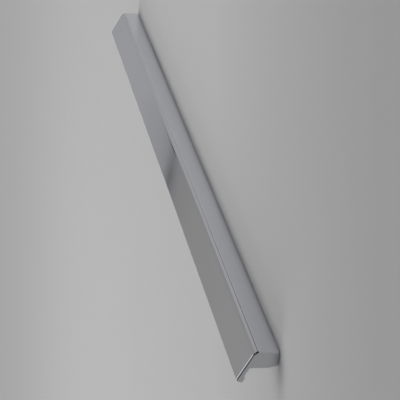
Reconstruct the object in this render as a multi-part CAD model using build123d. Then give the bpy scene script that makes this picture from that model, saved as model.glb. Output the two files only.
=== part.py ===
"""Profile pull: one solid bar of constant section with a leaning finger plate, a lip and tapped mounting holes."""
import math
import os

from build123d import *

# Bar, in millimetres. X runs along the bar, Y across it towards the free edge of the plate, Z out of the mounting face.
LENGTH = 600.0
LEG_HEIGHT = 14.8
LEG_THICKNESS = 11.3
FOOT_THICKNESS = 10.0
TAPER_START = 7.0
TAPER_ROUND = 3.0

# Finger plate, leaning outwards past square from the top of the leg's outer face.
PLATE_LEAN = 26.8
PLATE_WIDTH = 21.5
PLATE_THICKNESS = 3.5
CORNER_ROUND = 4.5
COVE_ROUND = 0.6

# Lip on the back of the plate's free edge, with a ramp up to it.
LIP_RISE = 1.1
LIP_LENGTH = 3.7
LIP_RAMP = 1.4
LIP_ROUND = 1.4
TIP_ROUND = 1.4

# Softened edges of the cut ends and of the mounting face.
END_ROUND = 1.2
FOOT_ROUND = 0.9

# Blind tapped holes in the mounting face: one in the middle and one set in from each end.
HOLE_INSET = 12.0
HOLE_DRILL_D = 3.3
HOLE_MOUTH_D = 4.4
HOLE_DEPTH = 10.0


def plate_point(u, v):
    """Section point u along the plate's outer face from the sharp corner and v behind that face."""
    lean = math.radians(PLATE_LEAN)
    y = -FOOT_THICKNESS / 2 + u * math.cos(lean) + v * math.sin(lean)
    z = LEG_HEIGHT + u * math.sin(lean) - v * math.cos(lean)
    return (y, z)


def back_meets_leg():
    """Section point where the back of the plate meets the inner side of the leg."""
    lean = math.radians(PLATE_LEAN)
    y, z = plate_point(0, PLATE_THICKNESS)
    leg_y = LEG_THICKNESS - FOOT_THICKNESS / 2
    return (leg_y, z + (leg_y - y) * math.tan(lean))


def section():
    """Closed section of the bar in Y and Z, with its long edges rounded."""
    outer_y = -FOOT_THICKNESS / 2
    inner_y = LEG_THICKNESS - FOOT_THICKNESS / 2
    lip_back = PLATE_THICKNESS + LIP_RISE
    lip_top = PLATE_WIDTH - LIP_LENGTH
    points = {
        "foot_outer": (outer_y, 0),
        "corner": (outer_y, LEG_HEIGHT),
        "tip": plate_point(PLATE_WIDTH, 0),
        "tip_back": plate_point(PLATE_WIDTH, lip_back),
        "lip_top": plate_point(lip_top, lip_back),
        "lip_base": plate_point(lip_top - LIP_RAMP, PLATE_THICKNESS),
        "cove": back_meets_leg(),
        "taper": (inner_y, TAPER_START),
        "foot_inner": (FOOT_THICKNESS / 2, 0),
    }
    rounds = {
        "corner": CORNER_ROUND,
        "tip": TIP_ROUND,
        "tip_back": TIP_ROUND,
        "lip_top": LIP_ROUND,
        "lip_base": COVE_ROUND,
        "cove": COVE_ROUND,
        "taper": TAPER_ROUND,
    }
    face = make_face(Polyline(*points.values(), close=True))
    for name, radius in rounds.items():
        spot = Vector(*points[name])
        vertex = min(face.vertices(), key=lambda v: (Vector(v) - spot).length)
        face = fillet(vertex, radius)
    return face


def bar():
    """The section drawn along X, centred on its length, with softened ends and mounting face."""
    plane = Plane(origin=(-LENGTH / 2, 0, 0), x_dir=(0, 1, 0), z_dir=(1, 0, 0))
    solid = extrude(plane * section(), LENGTH)
    ends = solid.faces().filter_by(Axis.X)
    floor_edges = solid.faces().sort_by(Axis.Z)[0].edges()
    end_edges = [edge for edge in ends.edges() if edge not in floor_edges]
    solid = fillet(end_edges, END_ROUND)
    foot_edges = solid.faces().sort_by(Axis.Z)[0].edges()
    return fillet(foot_edges, FOOT_ROUND)


def tapped_hole():
    """Blind drilling with a countersunk mouth, opening downwards at the origin."""
    mouth_depth = (HOLE_MOUTH_D - HOLE_DRILL_D) / 2
    drill = Cylinder(HOLE_DRILL_D / 2, HOLE_DEPTH, align=(Align.CENTER, Align.CENTER, Align.MIN))
    mouth = Cone(
        HOLE_MOUTH_D / 2, HOLE_DRILL_D / 2, mouth_depth, align=(Align.CENTER, Align.CENTER, Align.MIN)
    )
    return drill + mouth


def pull():
    """The finished pull with its row of mounting holes on the X axis."""
    solid = bar()
    reach = LENGTH / 2 - HOLE_INSET
    for x in (-reach, 0, reach):
        solid -= Pos(x, 0, 0) * tapped_hole()
    return solid


os.makedirs("parts", exist_ok=True)
export_step(pull(), "parts/pull_bar.step")
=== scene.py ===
"""Looks of the profile pull: a polished chrome bar with a leaning finger plate, on a pale studio floor."""

import math

import bmesh
import bpy
from mathutils import Matrix, Vector


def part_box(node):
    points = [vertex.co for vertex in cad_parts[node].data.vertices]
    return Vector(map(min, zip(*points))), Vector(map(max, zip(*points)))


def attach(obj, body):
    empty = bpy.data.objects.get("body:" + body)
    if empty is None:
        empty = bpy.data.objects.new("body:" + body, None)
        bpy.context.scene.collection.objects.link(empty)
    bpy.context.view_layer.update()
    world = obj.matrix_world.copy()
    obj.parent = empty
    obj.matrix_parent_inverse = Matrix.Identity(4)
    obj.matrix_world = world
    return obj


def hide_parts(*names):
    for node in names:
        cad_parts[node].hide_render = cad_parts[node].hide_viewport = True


bl_info = {
    "name": "Profile Pull Looks",
    "version": (1, 0, 0),
    "blender": (4, 5, 0),
    "location": "View3D > Sidebar > Profile Pull",
    "description": "Builds the polished pull bar and its studio around the packed frame",
    "category": "Object",
}

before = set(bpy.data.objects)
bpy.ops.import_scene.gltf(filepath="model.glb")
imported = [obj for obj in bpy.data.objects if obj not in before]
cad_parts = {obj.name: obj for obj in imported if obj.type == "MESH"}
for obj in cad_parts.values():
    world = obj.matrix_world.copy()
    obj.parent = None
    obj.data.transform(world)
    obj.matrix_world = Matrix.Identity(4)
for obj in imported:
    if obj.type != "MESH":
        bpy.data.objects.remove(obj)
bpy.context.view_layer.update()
BAR_LOW, BAR_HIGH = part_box("pull_bar")

# Fineness of the bar's mesh. Places that differ by less than NEAR are the same.
NEAR = 1e-6
LEAST_SEGMENTS = 4
DEGREES_PER_SEGMENT = 4
END_SEGMENTS = 10
FOOT_SEGMENTS = 3
HOLE_SEGMENTS = 48
CUT_CLEARANCE = 0.001
SHARP_ANGLE = math.radians(40)
FLAT_FACE_WEIGHT = 100

# Polish: cells of haze and of buffing grain per metre along X, Y and Z, and what they do to the chrome.
HAZE_CELLS = (6, 40, 40)
HAZE_DETAIL = 4.0
HAZE_RANGE = (0.35, 0.75)
GRAIN_CELLS = (8, 2600, 2600)
GRAIN_DETAIL = 3.0
GRAIN_RANGE = (0.3, 0.8)
GRAIN_ROUGHNESS = (0.008, 0.03)
GRAIN_STRENGTH = 0.02
GRAIN_DEPTH = 0.00002

# Distance from a cut end where its darker colour, a painted shade, begins and where it is whole.
END_SHADE_BEGINS = 0.0003
END_SHADE_WHOLE = 0.0001

# Floor paint: a painted shade darkens it along a level direction towards the camera, in metres from the
# origin, and it has a roller mottle.
FLOOR_REACH = 6.0
FLOOR_SHADE_SWEEP = (0.887, 0.460, 0)
FLOOR_SHADE_RANGE = (-0.45, -0.08)
FLOOR_ROUGHNESS = 0.85
FLOOR_SHEEN = 0.2
MOTTLE_CELLS = (14, 14, 14)
MOTTLE_DETAIL = 2.0
MOTTLE_SHADE = (0.99, 1.01)

# Lamp over the bar's far end.
LAMP_SIZE = (1.0, 0.6)
LAMP_PLACE = (0.35, 0.50, 1.1)
LAMP_POWER = 3.4

# Camera: its place and the directions of its right side and back. Lens and sensor are in millimetres.
CAMERA_PLACE = (-1.0133, -0.44253, 0.21091)
CAMERA_RIGHT = (-0.1716, -0.0879, -0.9812)
CAMERA_BACK = (-0.8850, -0.4238, 0.1928)
CAMERA_LENS = 135.0
CAMERA_SENSOR = 36.0

# Far wall of the room that the chrome mirrors. Heights and places aside are shares of the distance ahead.
LEAST_AHEAD = 0.05
RAIL_BENDS_AT = 0.10
RAIL_SLOPE = 1.057
RAILED_WALL = (
    (0.415, (0.383, 0.383, 0.389)),
    (0.446, (0.34, 0.34, 0.34)),
    (0.457, (0.31, 0.31, 0.31)),
    (0.466, (0.165, 0.165, 0.165)),
    (0.473, (0.25, 0.25, 0.25)),
    (0.480, (0.28, 0.275, 0.267)),
    (0.502, (0.30, 0.296, 0.286)),
    (0.575, (0.322, 0.317, 0.307)),
)
OPEN_WALL = (
    (0.446, (0.404, 0.404, 0.404)),
    (0.486, (0.308, 0.302, 0.291)),
    (0.60, (0.320, 0.314, 0.303)),
)

# Where the forms of that room show: two values are where a form begins and where it is whole, and four
# values are the same for a band, up its one side and down the other.
RAILED_ASIDE = (-0.40, -0.25)
RAIL_FADE_ASIDE = (0.116, 0.108)
RAIL_FADE_HEIGHT = (0.450, 0.458)
RAIL_FADE_SHARE = 0.35
BRACKET_ASIDE = (-0.09, -0.05, 0.06, 0.095)
BRACKET_RISE = (0.468, 0.474, 0.480, 0.485)
SKIRTING_ASIDE = (-0.44, -0.62)
SKIRTING_RISE = (0.12, 0.07)
SIDE_ASIDE = (-0.60, -0.85)
SIDE_Z = (0.50, 0.40)
SCREEN_Y = (0.11, 0.05)
SCREEN_OUTER_Y = (-0.10, -0.18)
SCREEN_OUTER_XZ = (-0.75, -0.62)
SCREEN_INNER_X = (-0.88, -0.74)
WINDOW_X = (-0.20, -0.10)
WINDOW_Y = (-0.50, -0.60)
WINDOW_Z = (0.56, 0.62, 0.74, 0.80)
WALL_X = (0.15, 0.30)
CEILING_X = (-0.12, 0.08)
CEILING_Y = (-0.40, -0.15)
CEILING_Z = (0.70, 0.82)

# Brightness of those forms.
RAIL_FADE_GREY = 0.28
BRACKET_GREY = 0.04
SKIRTING_GREY = 0.10
SIDE_GREY = 0.02
BACK_GREY = 0.24
SCREEN_GREY = 0.02
WINDOW_GREY = 0.20
CEILING_GREY = 0.95

# Tent of soft panels that lights the floor: level direction, cosine of the half width, and strength.
LOW_PANELS = (
    ((0.0, 1.0), 0.92, 3.92),
    ((0.707, -0.707), 0.92, 1.92),
    ((-1.0, 0.0), 0.92, 1.63),
)
HIGH_PANELS = (
    ((1.0, 0.0), 0.71, 2.29),
    ((0.0, 1.0), 0.71, 0.70),
)
PANEL_SOFTNESS = 0.04
HIGH_PANELS_Z = (0.53, 0.62)
LEAST_LEVEL = 0.0001


class PullSizes(bpy.types.PropertyGroup):
    """Sizes of the bar's section, edges and holes."""

    leg_height: bpy.props.FloatProperty(
        name="Leg Height", description="Outer face of the leg, up to the sharp corner",
        default=0.0148, unit="LENGTH")
    leg_thickness: bpy.props.FloatProperty(
        name="Leg Thickness", description="Leg across its upper part",
        default=0.0113, unit="LENGTH")
    foot_thickness: bpy.props.FloatProperty(
        name="Foot Thickness", description="Leg across its mounting face",
        default=0.0100, unit="LENGTH")
    taper_start: bpy.props.FloatProperty(
        name="Taper Start", description="Height where the inner side starts to lean in",
        default=0.0070, unit="LENGTH")
    taper_round: bpy.props.FloatProperty(
        name="Taper Rounding", description="Radius where the taper starts",
        default=0.0030, unit="LENGTH")
    plate_lean: bpy.props.FloatProperty(
        name="Plate Lean", description="How far the plate leans past square",
        default=math.radians(26.8), subtype="ANGLE")
    plate_width: bpy.props.FloatProperty(
        name="Plate Width", description="Plate along its outer face",
        default=0.0215, unit="LENGTH")
    plate_thickness: bpy.props.FloatProperty(
        name="Plate Thickness", description="Plate behind its outer face",
        default=0.0035, unit="LENGTH")
    corner_round: bpy.props.FloatProperty(
        name="Corner Rounding", description="Radius of the outer corner",
        default=0.0045, unit="LENGTH")
    cove_round: bpy.props.FloatProperty(
        name="Cove Rounding", description="Radius of the inner corners",
        default=0.0006, unit="LENGTH")
    lip_rise: bpy.props.FloatProperty(
        name="Lip Rise", description="How far the lip stands off the plate's back",
        default=0.0011, unit="LENGTH")
    lip_length: bpy.props.FloatProperty(
        name="Lip Length", description="Lip along the plate",
        default=0.0037, unit="LENGTH")
    lip_ramp: bpy.props.FloatProperty(
        name="Lip Ramp", description="Length of the ramp up to the lip",
        default=0.0014, unit="LENGTH")
    lip_round: bpy.props.FloatProperty(
        name="Lip Rounding", description="Radius of the lip's shoulder",
        default=0.0014, unit="LENGTH")
    tip_round: bpy.props.FloatProperty(
        name="Tip Rounding", description="Radius of the free edge's two corners",
        default=0.0014, unit="LENGTH")
    end_round: bpy.props.FloatProperty(
        name="End Rounding", description="Radius of the cut ends' edges",
        default=0.0012, unit="LENGTH")
    foot_round: bpy.props.FloatProperty(
        name="Foot Rounding", description="Radius round the mounting face",
        default=0.0009, unit="LENGTH")
    hole_inset: bpy.props.FloatProperty(
        name="Hole Inset", description="Distance from each end to its tapped hole",
        default=0.0120, unit="LENGTH")
    hole_drill: bpy.props.FloatProperty(
        name="Hole Diameter", description="Tapped hole across its wall",
        default=0.0033, unit="LENGTH")
    hole_mouth: bpy.props.FloatProperty(
        name="Hole Mouth", description="Tapped hole across its countersunk mouth",
        default=0.0044, unit="LENGTH")
    hole_depth: bpy.props.FloatProperty(
        name="Hole Depth", description="Depth of the tapped hole from the mounting face",
        default=0.0100, unit="LENGTH")


class PullColours(bpy.types.PropertyGroup):
    """Colours of the finish and of the studio."""

    chrome: bpy.props.FloatVectorProperty(
        name="Chrome", description="Reflection colour of the polish",
        subtype="COLOR", size=3, min=0, max=1, default=(0.75, 0.76, 0.805))
    chrome_haze: bpy.props.FloatVectorProperty(
        name="Chrome Haze", description="Reflection colour where the polish is a little duller",
        subtype="COLOR", size=3, min=0, max=1, default=(0.72, 0.73, 0.773))
    # The cut ends' darker reflection colour is painted shade.
    chrome_end_painted_shade: bpy.props.FloatVectorProperty(
        name="Chrome End", description="Reflection colour of the cut ends",
        subtype="COLOR", size=3, min=0, max=1, default=(0.60, 0.61, 0.632))
    floor: bpy.props.FloatVectorProperty(
        name="Floor", description="Pale painted floor",
        subtype="COLOR", size=3, min=0, max=1, default=(0.46, 0.46, 0.46))
    # The near floor colour is painted shade: the floor turns darker towards the camera.
    floor_shade_near: bpy.props.FloatVectorProperty(
        name="Near Floor", description="Floor paint where it grades off towards the camera",
        subtype="COLOR", size=3, min=0, max=1, default=(0.345, 0.345, 0.345))


class NodeKit:
    """Short ways to add nodes to one node tree."""

    def __init__(self, tree):
        self.tree = tree

    def feed(self, socket, value):
        """Gives an input a constant, or joins it to another node's output."""
        if isinstance(value, bpy.types.NodeSocket):
            self.tree.links.new(value, socket)
        else:
            socket.default_value = value

    def maths(self, operation, *values):
        """Result of one step of arithmetic."""
        node = self.tree.nodes.new("ShaderNodeMath")
        node.operation = operation
        for socket, value in zip(node.inputs, values):
            self.feed(socket, value)
        return node.outputs["Value"]

    def product(self, first, *others):
        """Shares multiplied, so that the result is whole only where each of them is."""
        for other in others:
            first = self.maths("MULTIPLY", first, other)
        return first

    def edge(self, value, begins, whole, low=0.0, high=1.0):
        """Runs straight from low, where the value is at begins, to high, where it is at whole."""
        node = self.tree.nodes.new("ShaderNodeMapRange")
        self.feed(node.inputs["Value"], value)
        node.inputs["From Min"].default_value = begins
        node.inputs["From Max"].default_value = whole
        node.inputs["To Min"].default_value = low
        node.inputs["To Max"].default_value = high
        return node.outputs["Result"]

    def band(self, value, begins, whole, whole_until, ends):
        """Share that is whole between two values and fades out on both sides."""
        return self.product(self.edge(value, begins, whole), self.edge(value, ends, whole_until))

    def ramp(self, value, stops):
        """Colour that runs through a row of places, each with its colour."""
        first = stops[0][0]
        last = stops[-1][0]
        node = self.tree.nodes.new("ShaderNodeValToRGB")
        elements = node.color_ramp.elements
        while len(elements) < len(stops):
            elements.new(0.5)
        for element, (place, colour) in zip(elements, stops):
            element.position = (place - first) / (last - first)
            element.color = opaque(colour)
        self.feed(node.inputs["Fac"], self.edge(value, first, last))
        return node.outputs["Color"]

    def blend(self, share, under, over):
        """Colour that goes over from the first to the second as the share grows."""
        node = self.tree.nodes.new("ShaderNodeMix")
        node.data_type = "RGBA"
        inputs = {socket.name: socket for socket in node.inputs if socket.enabled}
        self.feed(inputs["Factor"], share)
        self.feed(inputs["A"], under)
        self.feed(inputs["B"], over)
        return next(socket for socket in node.outputs if socket.enabled)

    def noise(self, place, cells, detail):
        """Noise with so many cells per metre along each axis."""
        stretch = self.tree.nodes.new("ShaderNodeMapping")
        self.feed(stretch.inputs["Vector"], place)
        stretch.inputs["Scale"].default_value = cells
        node = self.tree.nodes.new("ShaderNodeTexNoise")
        self.feed(node.inputs["Vector"], stretch.outputs["Vector"])
        node.inputs["Scale"].default_value = 1.0
        node.inputs["Detail"].default_value = detail
        return node.outputs["Fac"]


def opaque(colour):
    """Colour with full cover."""
    return (*colour, 1)


def grey(brightness):
    """Neutral colour with full cover."""
    return (brightness, brightness, brightness, 1)


def section_corners(size):
    """Sharp section corners in Y and Z with the radius each is rounded to, in order round the bar."""
    lean_y = math.cos(size.plate_lean)
    lean_z = math.sin(size.plate_lean)
    outer = -size.foot_thickness / 2
    inner = outer + size.leg_thickness

    def on_plate(along, behind):
        """Section point along the plate's outer face and behind it."""
        return (outer + along * lean_y + behind * lean_z, size.leg_height + along * lean_z - behind * lean_y)

    lip_back = size.plate_thickness + size.lip_rise
    lip_top = size.plate_width - size.lip_length
    back_y, back_z = on_plate(0, size.plate_thickness)
    return [
        ((outer, 0), 0),
        ((outer, size.leg_height), size.corner_round),
        (on_plate(size.plate_width, 0), size.tip_round),
        (on_plate(size.plate_width, lip_back), size.tip_round),
        (on_plate(lip_top, lip_back), size.lip_round),
        (on_plate(lip_top - size.lip_ramp, size.plate_thickness), size.cove_round),
        ((inner, back_z + (inner - back_y) * lean_z / lean_y), size.cove_round),
        ((inner, size.taper_start), size.taper_round),
        ((size.foot_thickness / 2, 0), 0),
    ]


def turn_at(corners, index):
    """Angle by which the section's outline turns at a corner."""
    before = Vector(corners[index - 1][0])
    here = Vector(corners[index][0])
    after = Vector(corners[(index + 1) % len(corners)][0])
    return (here - before).angle(after - here)


def runs_along(edge, y, z):
    """Tells whether an edge runs along the bar at one corner of its section."""
    return all(abs(vert.co.y - y) < NEAR and abs(vert.co.z - z) < NEAR for vert in edge.verts)


def lies_on_foot(edge):
    """Tells whether an edge lies in the mounting face."""
    return all(vert.co.z < NEAR for vert in edge.verts)


def lies_on_end(edge):
    """Tells whether an edge lies in one of the cut ends."""
    return abs(edge.verts[0].co.x - edge.verts[1].co.x) < NEAR


def round_edges(bm, edges, offset, segments):
    """Rounds edges with a circular profile."""
    bmesh.ops.bevel(
        bm, geom=edges, offset=offset, offset_type="OFFSET", segments=segments, profile=0.5,
        affect="EDGES", clamp_overlap=False, material=-1)


def put_in_scene(bm, name):
    """Turns a bmesh into an object at the origin."""
    mesh = bpy.data.meshes.new(name)
    bm.to_mesh(mesh)
    bm.free()
    piece = bpy.data.objects.new(name, mesh)
    bpy.context.scene.collection.objects.link(piece)
    return piece


def new_piece(bm, name, material):
    """Turns a bmesh into an object with its faces turned outwards and one material."""
    bmesh.ops.recalc_face_normals(bm, faces=bm.faces)
    piece = put_in_scene(bm, name)
    piece.data.materials.append(material)
    return piece


def polished_chrome(colours):
    """Mirror-bright chrome with an uneven haze, a buffing grain along the bar, and cut ends given a darker
    reflection colour as painted shade.
    """
    material = bpy.data.materials.new("polished_chrome")
    material.use_nodes = True
    tree = material.node_tree
    add = NodeKit(tree)
    shader = tree.nodes["Principled BSDF"]
    shader.inputs["Metallic"].default_value = 1.0
    place = tree.nodes.new("ShaderNodeTexCoord").outputs["Object"]

    haze = add.edge(add.noise(place, HAZE_CELLS, HAZE_DETAIL), *HAZE_RANGE)
    polish = add.blend(haze, opaque(colours.chrome), opaque(colours.chrome_haze))
    axes = tree.nodes.new("ShaderNodeSeparateXYZ")
    add.feed(axes.inputs["Vector"], place)
    # Near each cut end the reflection colour turns darker: painted shade.
    reach = add.maths("ABSOLUTE", axes.outputs["X"])
    end_shade_share = add.edge(reach, BAR_HIGH[0] - END_SHADE_BEGINS, BAR_HIGH[0] - END_SHADE_WHOLE)
    add.feed(shader.inputs["Base Color"], add.blend(end_shade_share, polish, opaque(colours.chrome_end_painted_shade)))

    grain = add.noise(place, GRAIN_CELLS, GRAIN_DETAIL)
    add.feed(shader.inputs["Roughness"], add.edge(grain, *GRAIN_RANGE, *GRAIN_ROUGHNESS))
    bump = tree.nodes.new("ShaderNodeBump")
    bump.inputs["Strength"].default_value = GRAIN_STRENGTH
    bump.inputs["Distance"].default_value = GRAIN_DEPTH
    add.feed(bump.inputs["Height"], grain)
    add.feed(shader.inputs["Normal"], bump.outputs["Normal"])
    return material


def floor_with_painted_shade(colours):
    """Pale paint, darkened towards the camera by painted shade, with a faint roller mottle."""
    material = bpy.data.materials.new("floor_with_painted_shade")
    material.use_nodes = True
    tree = material.node_tree
    add = NodeKit(tree)
    shader = tree.nodes["Principled BSDF"]
    shader.inputs["Roughness"].default_value = FLOOR_ROUGHNESS
    shader.inputs["Specular IOR Level"].default_value = FLOOR_SHEEN
    place = tree.nodes.new("ShaderNodeTexCoord").outputs["Object"]

    # Painted shade: the floor colour darkens towards the camera along a level direction.
    sweep = tree.nodes.new("ShaderNodeVectorMath")
    sweep.operation = "DOT_PRODUCT"
    add.feed(sweep.inputs[0], place)
    sweep.inputs[1].default_value = FLOOR_SHADE_SWEEP
    floor_shade_share = add.edge(sweep.outputs["Value"], *FLOOR_SHADE_RANGE)
    paint = add.blend(floor_shade_share, opaque(colours.floor_shade_near), opaque(colours.floor))

    mottle = add.noise(place, MOTTLE_CELLS, MOTTLE_DETAIL)
    coat = tree.nodes.new("ShaderNodeVectorMath")
    coat.operation = "SCALE"
    add.feed(coat.inputs[0], paint)
    add.feed(coat.inputs["Scale"], add.edge(mottle, 0.0, 1.0, *MOTTLE_SHADE))
    add.feed(shader.inputs["Base Color"], coat.outputs["Vector"])
    return material


def far_wall(add, x, y, z):
    """Wall ahead of the camera: a dark rail that ends in a bracket crosses it, and its side is dark."""
    ahead = add.maths("MAXIMUM", x, LEAST_AHEAD)
    aside = add.maths("DIVIDE", y, ahead)
    rise = add.maths("DIVIDE", z, ahead)
    past_bend = add.maths("MAXIMUM", add.maths("SUBTRACT", aside, RAIL_BENDS_AT), 0.0)
    height = add.maths("SUBTRACT", rise, add.product(past_bend, RAIL_SLOPE))

    fading = add.product(
        add.edge(aside, *RAIL_FADE_ASIDE), add.edge(height, *RAIL_FADE_HEIGHT), RAIL_FADE_SHARE)
    railed = add.blend(fading, add.ramp(height, RAILED_WALL), grey(RAIL_FADE_GREY))
    bracket = add.product(add.band(aside, *BRACKET_ASIDE), add.band(rise, *BRACKET_RISE))
    railed = add.blend(bracket, railed, grey(BRACKET_GREY))
    wall = add.blend(add.edge(aside, *RAILED_ASIDE), add.ramp(height, OPEN_WALL), railed)

    skirting = add.product(add.edge(aside, *SKIRTING_ASIDE), add.edge(rise, *SKIRTING_RISE))
    wall = add.blend(skirting, wall, grey(SKIRTING_GREY))
    side = add.product(add.edge(aside, *SIDE_ASIDE), add.edge(z, *SIDE_Z))
    return add.blend(side, wall, grey(SIDE_GREY))


def back_of_room(add, x, y, z):
    """Grey room behind the camera, with a dark screen and a dim window high up at the side."""
    outer = add.product(
        add.edge(y, *SCREEN_OUTER_Y), add.edge(add.maths("ADD", x, z), *SCREEN_OUTER_XZ))
    inner = add.edge(x, *SCREEN_INNER_X)
    screen = add.product(add.edge(y, *SCREEN_Y), add.maths("MAXIMUM", outer, inner))
    back = add.blend(screen, grey(BACK_GREY), grey(SCREEN_GREY))
    window = add.product(add.edge(x, *WINDOW_X), add.edge(y, *WINDOW_Y), add.band(z, *WINDOW_Z))
    return add.blend(window, back, grey(WINDOW_GREY))


def mirrored_room(add, x, y, z):
    """Room that the chrome mirrors, under a pale ceiling."""
    room = add.blend(add.edge(x, *WALL_X), back_of_room(add, x, y, z), far_wall(add, x, y, z))
    ceiling = add.product(add.edge(x, *CEILING_X), add.edge(y, *CEILING_Y), add.edge(z, *CEILING_Z))
    return add.blend(ceiling, room, grey(CEILING_GREY))


def light_tent(add, x, y, z):
    """Soft panels round the floor, one ring low down and one higher up."""
    level = add.maths("MAXIMUM", add.maths("SUBTRACT", 1.0, add.product(z, z)), LEAST_LEVEL)
    level = add.maths("SQRT", level)

    def ring(panels):
        """Light of one ring of panels."""
        total = 0.0
        for (toward_x, toward_y), half_width, strength in panels:
            facing = add.maths("ADD", add.product(x, toward_x), add.product(y, toward_y))
            facing = add.maths("DIVIDE", facing, level)
            share = add.edge(facing, half_width - PANEL_SOFTNESS, half_width + PANEL_SOFTNESS)
            total = add.maths("ADD", add.product(share, strength), total)
        return total

    return add.blend(add.edge(z, *HIGH_PANELS_Z), ring(LOW_PANELS), ring(HIGH_PANELS))


class PULL_OT_bar(bpy.types.Operator):
    """Builds the pull bar: section, rounded edges, softened ends and tapped holes"""

    bl_idname = "pull.bar"
    bl_label = "Build Pull Bar"

    def execute(self, context):
        size = context.scene.pull_sizes
        half = (BAR_HIGH[0] - BAR_LOW[0]) / 2
        bm = self.rounded_bar(size, half)
        piece = new_piece(bm, "pull_bar_polished", polished_chrome(context.scene.pull_colours))
        self.drill(context, piece, size, half)
        piece.data.shade_smooth()
        piece.data.set_sharp_from_angle(angle=SHARP_ANGLE)
        normals = piece.modifiers.new("flat_faces", "WEIGHTED_NORMAL")
        normals.keep_sharp = True
        normals.weight = FLAT_FACE_WEIGHT
        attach(piece, "root")
        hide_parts("pull_bar")
        return {"FINISHED"}

    def rounded_bar(self, size, half):
        """Draws the section along the bar, then rounds its long edges, its ends and its foot."""
        corners = section_corners(size)
        bm = bmesh.new()
        ring = [bm.verts.new((-half, y, z)) for (y, z), _ in corners]
        end = bm.faces.new(ring)
        grown = bmesh.ops.extrude_face_region(bm, geom=[end])["geom"]
        moved = [item for item in grown if isinstance(item, bmesh.types.BMVert)]
        bmesh.ops.translate(bm, verts=moved, vec=(2 * half, 0, 0))
        bmesh.ops.recalc_face_normals(bm, faces=bm.faces)
        for index, ((y, z), radius) in enumerate(corners):
            if radius:
                edges = [edge for edge in bm.edges if runs_along(edge, y, z)]
                turn = turn_at(corners, index)
                segments = max(LEAST_SEGMENTS, round(math.degrees(turn) / DEGREES_PER_SEGMENT))
                round_edges(bm, edges, radius * math.tan(turn / 2), segments)
        ends = [edge for edge in bm.edges if lies_on_end(edge) and not lies_on_foot(edge)]
        round_edges(bm, ends, size.end_round, END_SEGMENTS)
        foot = [edge for edge in bm.edges if lies_on_foot(edge)]
        round_edges(bm, foot, size.foot_round, FOOT_SEGMENTS)
        return bm

    def drill(self, context, piece, size, half):
        """Cuts the three blind tapped holes into the mounting face."""
        reach = half - size.hole_inset
        places = (-reach, 0, reach)
        wall = size.hole_drill / 2
        rim = size.hole_mouth / 2 + CUT_CLEARANCE
        countersink = (size.hole_mouth - size.hole_drill) / 2
        drills = self.cutter("drills", places, wall, wall, size.hole_depth)
        mouths = self.cutter("mouths", places, rim, wall, countersink)
        for tool in (mouths, drills):
            cut = piece.modifiers.new(tool.name, "BOOLEAN")
            cut.operation = "DIFFERENCE"
            cut.solver = "EXACT"
            cut.object = tool
        graph = context.evaluated_depsgraph_get()
        drilled = bpy.data.meshes.new_from_object(piece.evaluated_get(graph))
        piece.modifiers.clear()
        piece.data = drilled
        for tool in (mouths, drills):
            bpy.data.objects.remove(tool)

    def cutter(self, name, places, low_radius, high_radius, depth):
        """Row of cutting shapes, from a little below the mounting face up to a depth."""
        bm = bmesh.new()
        for x in places:
            bmesh.ops.create_cone(
                bm, cap_ends=True, segments=HOLE_SEGMENTS, radius1=low_radius, radius2=high_radius,
                depth=depth + CUT_CLEARANCE, matrix=Matrix.Translation((x, 0, (depth - CUT_CLEARANCE) / 2)))
        return put_in_scene(bm, name)


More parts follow.
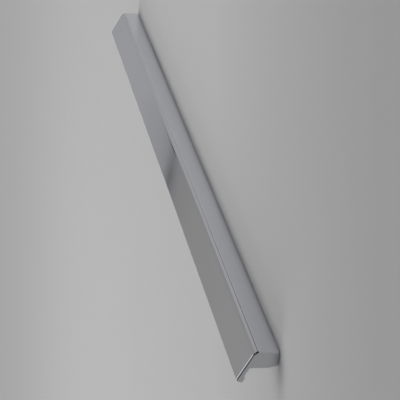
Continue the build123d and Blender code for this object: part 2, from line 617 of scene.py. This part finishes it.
class PULL_OT_stage(bpy.types.Operator):
    """Sets the floor, the studio light and the camera"""

    bl_idname = "pull.stage"
    bl_label = "Set Stage"

    def execute(self, context):
        scene = context.scene
        bm = bmesh.new()
        bmesh.ops.create_grid(bm, x_segments=1, y_segments=1, size=FLOOR_REACH)
        floor = new_piece(bm, "studio_floor", floor_with_painted_shade(scene.pull_colours))
        self.softbox(scene)
        self.studio(scene)
        self.camera(scene)
        scene.view_settings.view_transform = "Standard"
        return {"FINISHED"}

    def softbox(self, scene):
        """Soft lamp over the bar's far end, which the chrome doesn't mirror."""
        lamp = bpy.data.lights.new("softbox", "AREA")
        lamp.shape = "RECTANGLE"
        lamp.size, lamp.size_y = LAMP_SIZE
        lamp.energy = LAMP_POWER
        box = bpy.data.objects.new("softbox", lamp)
        box.location = LAMP_PLACE
        box.visible_glossy = False
        scene.collection.objects.link(box)

    def studio(self, scene):
        """Room for the chrome to mirror, a tent of light for the floor and a backdrop for the camera."""
        world = bpy.data.worlds.new("studio")
        scene.world = world
        world.use_nodes = True
        tree = world.node_tree
        add = NodeKit(tree)
        axes = tree.nodes.new("ShaderNodeSeparateXYZ")
        add.feed(axes.inputs["Vector"], tree.nodes.new("ShaderNodeTexCoord").outputs["Generated"])
        rays = tree.nodes.new("ShaderNodeLightPath").outputs
        direct = add.maths("SUBTRACT", 1.0, add.maths("MINIMUM", rays["Diffuse Depth"], 1.0))
        mirrored = add.product(rays["Is Glossy Ray"], direct)
        seen = add.blend(mirrored, light_tent(add, *axes.outputs), mirrored_room(add, *axes.outputs))
        seen = add.blend(rays["Is Camera Ray"], seen, opaque(scene.pull_colours.floor))
        add.feed(tree.nodes["Background"].inputs["Color"], seen)

    def camera(self, scene):
        """Long lens near the floor, looking along the bar with the picture turned on its side."""
        lens = bpy.data.cameras.new("camera")
        lens.sensor_width = CAMERA_SENSOR
        lens.lens = CAMERA_LENS
        camera = bpy.data.objects.new("camera", lens)
        back = Vector(CAMERA_BACK).normalized()
        up = back.cross(Vector(CAMERA_RIGHT)).normalized()
        right = up.cross(back)
        turn = Matrix((right, up, back)).transposed().to_4x4()
        camera.matrix_world = Matrix.Translation(CAMERA_PLACE) @ turn
        scene.collection.objects.link(camera)
        scene.camera = camera


class PULL_PT_panel(bpy.types.Panel):
    """Lists the pull's sizes, colours and build steps"""

    bl_idname = "PULL_PT_panel"
    bl_label = "Profile Pull"
    bl_space_type = "VIEW_3D"
    bl_region_type = "UI"
    bl_category = "Profile Pull"

    def draw(self, context):
        layout = self.layout
        for group in (context.scene.pull_sizes, context.scene.pull_colours):
            for name in group.__annotations__:
                layout.prop(group, name)
        for step in (PULL_OT_bar, PULL_OT_stage):
            layout.operator(step.bl_idname)


CLASSES = (PullSizes, PullColours, PULL_OT_bar, PULL_OT_stage, PULL_PT_panel)


def register():
    """Adds the classes and the scene's settings."""
    for item in CLASSES:
        bpy.utils.register_class(item)
    bpy.types.Scene.pull_sizes = bpy.props.PointerProperty(type=PullSizes)
    bpy.types.Scene.pull_colours = bpy.props.PointerProperty(type=PullColours)


def unregister():
    """Takes the scene's settings and the classes away again."""
    del bpy.types.Scene.pull_colours
    del bpy.types.Scene.pull_sizes
    for item in reversed(CLASSES):
        bpy.utils.unregister_class(item)


def main():
    """Builds the bar and the stage."""
    register()
    bpy.ops.pull.bar()
    bpy.ops.pull.stage()


if __name__ == "__main__":
    main()
